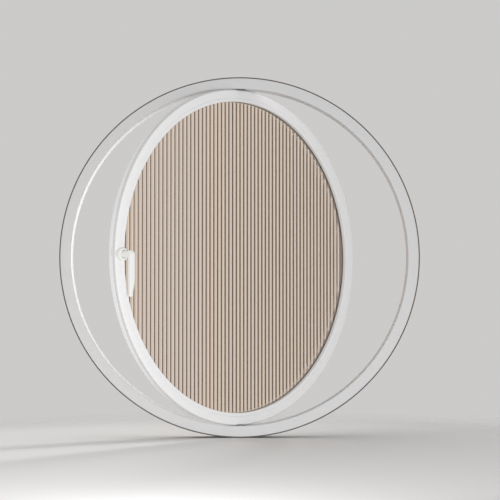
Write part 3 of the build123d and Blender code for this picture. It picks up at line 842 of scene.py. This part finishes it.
def neck_outline():
    """Half section of the neck: a cone that flares softly where it meets the grip."""
    end = GRIP_BACK + NECK_SINK
    corners = [
        (NECK_BORE, NECK_START), (NECK_BASE, NECK_START), (NECK_TIP, GRIP_BACK - NECK_FLARE),
        (NECK_END, end), (NECK_BORE, end),
    ]
    radii = np.array([0.2, 0.5, 3.0, 0.3, 0.2])
    return rounded(corners, radii, steps=6)


def soft_ramp(value, ease=0.5):
    """Nought below nought and the value above it: half the value, plus half the root of its
    square and the ease's square."""
    return (value + np.sqrt(value * value + ease * ease)) / 2


def corner_pull(distance, radius):
    """How far a rounded corner pulls in at a distance from the end: the radius less the root of
    its square less the square of what is left of it."""
    left = np.clip(radius - distance, 0, radius)
    return radius - np.sqrt(np.clip(radius * radius - left * left, 0, None))


def lever_grip(sizes):
    """The flat grip. Along its length the half width runs straight, then narrows to the tip, and
    the front falls away at both ends. Round it, each section is a rectangle with corner arcs:
    a point is the corner's centre plus the arc's radius times the cosine and sine of its angle.
    Both ends pull in along a quarter circle."""
    near = GRIP_CORNER * (1 - np.cos(np.linspace(0, pi / 2, GRIP_END_ROWS)))
    inset = GRIP_CORNER + GRIP_END_GAP
    straight = np.linspace(GRIP_TOP - inset, GRIP_FOOT + inset, GRIP_ROWS)
    along = np.concatenate((GRIP_TOP - near, straight, GRIP_FOOT + near[::-1]))[:, None]
    from_end = np.minimum(GRIP_TOP - along, along - GRIP_FOOT)
    taper = np.clip(1 - (along - GRIP_FOOT) / GRIP_TAPER, 0, 1)
    half = GRIP_HALF_WIDTH + (GRIP_TIP_HALF_WIDTH - GRIP_HALF_WIDTH) * taper
    half = half - corner_pull(from_end, GRIP_CORNER)
    heel = soft_ramp(GRIP_HEEL[0] - (GRIP_TOP - along)) * GRIP_HEEL[1] / GRIP_HEEL[0]
    toe = soft_ramp(GRIP_TOE[0] - (along - GRIP_FOOT)) * GRIP_TOE[1] / GRIP_TOE[0]
    edge = corner_pull(from_end, GRIP_BACK_ROUND)
    front = GRIP_FRONT - np.maximum(heel, toe) - edge
    back = GRIP_BACK + edge
    quarter = np.repeat(np.arange(4), GRIP_ARC)[None, :]
    angle = np.tile(np.linspace(0, pi / 2, GRIP_ARC), 4)[None, :] + pi / 2 * quarter
    size = np.where(quarter < 2, sizes.grip_round / MM, GRIP_BACK_ROUND)
    size = np.minimum(size, SIDE_SHARE * (front - back))
    side = np.array([1, -1, -1, 1])[quarter]
    middle = np.where(quarter < 2, front - size, back + size)
    across = side * (half - size) + size * np.cos(angle)
    forward = middle + size * np.sin(angle)
    points = np.stack(np.broadcast_arrays(across, along, forward), -1)
    rows, columns = points.shape[:2]
    faces = grid_faces(rows, columns, close_columns=True)
    return piece("lever_grip", at_handle(points), faces, end_caps(rows, columns), sharp=40.0)


class ROUND_WINDOW_OT_fittings(bpy.types.Operator):
    """Finishes of the pivots, keeper, gaskets, screws and inner pieces in their CAD shape"""
    bl_idname = "round_window.fittings"
    bl_label = "Fittings"

    def execute(self, context):
        colours = context.scene.window_colours
        steel = turned_steel("turned_stainless_steel")
        nylon = moulded_nylon("moulded_nylon")
        rubber = soft_rubber("extruded_epdm_rubber", tuple(colours.gasket))
        keeper = powder_coat("painted_steel_keeper", tuple(colours.keeper_paint))
        aluminium = mill_aluminium("milled_aluminium")
        finishes = (
            (keeper, ("cam_keeper",)),
            (aluminium, ("upper_pivot_block", "lower_pivot_block")),
            (rubber, ("front_glazing_gasket", "rear_glazing_gasket")),
            (nylon, ("upper_pivot_bush", "lower_pivot_bush", "setting_blocks", "rosette_base",
                     "spindle_bush")),
            (steel, ("upper_pivot_housing", "lower_pivot_housing", "friction_washer",
                     "thrust_washer", "pivot_screws", "keeper_screws", "upper_pivot_pin",
                     "lower_pivot_pin", "stop_peg", "rosette_screws", "handle_spindle",
                     "handle_grub_screw", "cam_tongue")),
        )
        for material, names in finishes:
            for name in names:
                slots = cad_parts[name].data.materials
                slots.clear()
                slots.append(material)
        return {"FINISHED"}


# Studio

def area_light(name, power, place, aim, width, height, colour, cone):
    """A rectangular light at a place, turned towards the point that it lights and limited to a
    cone of so many degrees. Rays that the reeds bend or mirror don't see it."""
    data = bpy.data.lights.new(name, "AREA")
    data.shape = "RECTANGLE"
    data.size, data.size_y = width, height
    data.energy = power
    data.color = colour
    data.spread = radians(cone)
    light = bpy.data.objects.new(name, data)
    light.location = place
    light.rotation_euler = (Vector(aim) - Vector(place)).to_track_quat("-Z", "Y").to_euler()
    light.visible_camera = False
    light.visible_glossy = False
    light.visible_transmission = False
    bpy.context.scene.collection.objects.link(light)


def surround(world, studio):
    """Soft light from all round: pale at eye height, brighter overhead, darker below and in
    front, with a darker card behind on the right and a brighter one on the left. Seen directly
    it is plain."""
    world.use_nodes = True
    tree = world.node_tree
    tree.nodes.clear()
    place = add(tree, "ShaderNodeTexCoord")
    parts = add(tree, "ShaderNodeSeparateXYZ", links={"Vector": (place, "Generated")})
    lift, crown, front = (
        mapped(tree, (parts, axis), limits, results, easing)
        for axis, limits, results, easing in LEVELS
    )
    height = add(tree, "ShaderNodeMath", operation="MULTIPLY",
                 links={0: (lift, "Result"), 1: (crown, "Result")})
    level = add(tree, "ShaderNodeMath", operation="MULTIPLY",
                links={0: (height, "Value"), 1: (front, "Result")})
    sky = add(tree, "ShaderNodeRGB")
    sky.outputs["Color"].default_value = (*studio.sky, 1)
    colour = (sky, "Color")
    for name, bearing, edge in CARDS:
        towards = (sin(radians(bearing)), cos(radians(bearing)), 0.0)
        closeness = add(tree, "ShaderNodeVectorMath", {1: towards}, {0: (place, "Generated")},
                        operation="DOT_PRODUCT")
        share = mapped(tree, (closeness, "Value"), edge, (0.0, 1.0))
        card = add(tree, "ShaderNodeMix", {"B": (*getattr(studio, name), 1)},
                   {"Factor": (share, "Result"), "A": colour}, data_type="RGBA")
        colour = (card, "Result")
    light = add(tree, "ShaderNodeBackground",
                links={"Color": colour, "Strength": (level, "Value")})
    plain = add(tree, "ShaderNodeBackground", {"Strength": PLAIN_LEVEL},
                {"Color": (sky, "Color")})
    ray = add(tree, "ShaderNodeLightPath")
    mixed = add(tree, "ShaderNodeMixShader", links={
        0: (ray, "Is Camera Ray"), 1: (light, "Background"), 2: (plain, "Background")})
    add(tree, "ShaderNodeOutputWorld", links={"Surface": (mixed, "Shader")})


def studio_floor(studio):
    """A round pale floor that touches the foot of the window: rings of points, each at its
    radius times the cosine and sine of the angle, about a point in front of the window. Its rim
    fades out and so runs into the surround without a seam."""
    radius = np.array(FLOOR_RADII)[None, :]
    height = np.array(FLOOR_DROPS)[None, :] - SEAL_OUTER - FLOOR_GAP
    angle = np.linspace(0, 2 * pi, FLOOR_STEPS, endpoint=False)[:, None]
    across, along = radius * np.cos(angle), radius * np.sin(angle) - FLOOR_FORWARD
    points = np.stack(np.broadcast_arrays(across, along, height), -1)
    faces = grid_faces(FLOOR_STEPS, len(FLOOR_RADII), close_rows=True)
    made = piece("studio_floor", points, faces)
    material, tree, shader, place = finish("matt_painted_board", {"Roughness": 0.75})
    mottled_colour(tree, place, shader, tuple(studio.floor), size=900.0, change=0.02)
    middle = (0.0, -FLOOR_FORWARD * MM, -SEAL_OUTER * MM)
    distance = add(tree, "ShaderNodeVectorMath", {1: middle}, {0: (place, "Object")},
                   operation="DISTANCE")
    fade = mapped(tree, (distance, "Value"), FLOOR_FADE, (1.0, 0.0))
    tree.links.new(fade.outputs["Result"], shader.inputs["Alpha"])
    made.data.materials.append(material)


class ROUND_WINDOW_OT_studio(bpy.types.Operator):
    """Camera at the photographed angle, pale floor and soft light"""
    bl_idname = "round_window.studio"
    bl_label = "Studio"

    def execute(self, context):
        scene, studio = context.scene, context.scene.window_studio
        scene.view_settings.view_transform = "Standard"
        data = bpy.data.cameras.new("camera")
        data.sensor_width = CAMERA_SENSOR
        data.lens = CAMERA_LENS
        camera = bpy.data.objects.new("camera", data)
        camera.location = CAMERA_PLACE
        camera.rotation_euler = (radians(CAMERA_TILT), 0.0, radians(CAMERA_PAN))
        scene.collection.objects.link(camera)
        scene.camera = camera
        if scene.world is None:
            scene.world = bpy.data.worlds.new("surround")
        surround(scene.world, studio)
        studio_floor(studio)
        for name, *light in LIGHTS:
            area_light(name, getattr(studio, name + "_power"), *light)
        return {"FINISHED"}


# Panel and registration

STEPS = ("frame", "foam", "sash", "pane", "brush", "handle", "fittings", "studio")


class ROUND_WINDOW_PT_panel(bpy.types.Panel):
    """Buttons for the steps and fields for everything that a user may change"""
    bl_label = "Round pivot window"
    bl_idname = "ROUND_WINDOW_PT_panel"
    bl_space_type = "VIEW_3D"
    bl_region_type = "UI"
    bl_category = "Window"

    def draw(self, context):
        scene = context.scene
        for step in STEPS:
            self.layout.operator("round_window." + step)
        for group in (scene.window_sizes, scene.window_colours, scene.window_studio):
            box = self.layout.box()
            for name in group.__annotations__:
                box.prop(group, name)


CLASSES = (
    WindowSizes, WindowColours, WindowStudio, ROUND_WINDOW_OT_frame, ROUND_WINDOW_OT_foam,
    ROUND_WINDOW_OT_sash, ROUND_WINDOW_OT_pane, ROUND_WINDOW_OT_brush, ROUND_WINDOW_OT_handle,
    ROUND_WINDOW_OT_fittings, ROUND_WINDOW_OT_studio, ROUND_WINDOW_PT_panel,
)


def register():
    """Registers the classes and hangs the property groups on the scene."""
    for item in CLASSES:
        bpy.utils.register_class(item)
    bpy.types.Scene.window_sizes = bpy.props.PointerProperty(type=WindowSizes)
    bpy.types.Scene.window_colours = bpy.props.PointerProperty(type=WindowColours)
    bpy.types.Scene.window_studio = bpy.props.PointerProperty(type=WindowStudio)


def unregister():
    """Takes back what register did."""
    del bpy.types.Scene.window_studio
    del bpy.types.Scene.window_colours
    del bpy.types.Scene.window_sizes
    for item in reversed(CLASSES):
        bpy.utils.unregister_class(item)


def main():
    """Registers the add-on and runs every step."""
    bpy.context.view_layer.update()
    register()
    for step in STEPS:
        getattr(bpy.ops.round_window, step)()


if __name__ == "__main__":
    main()
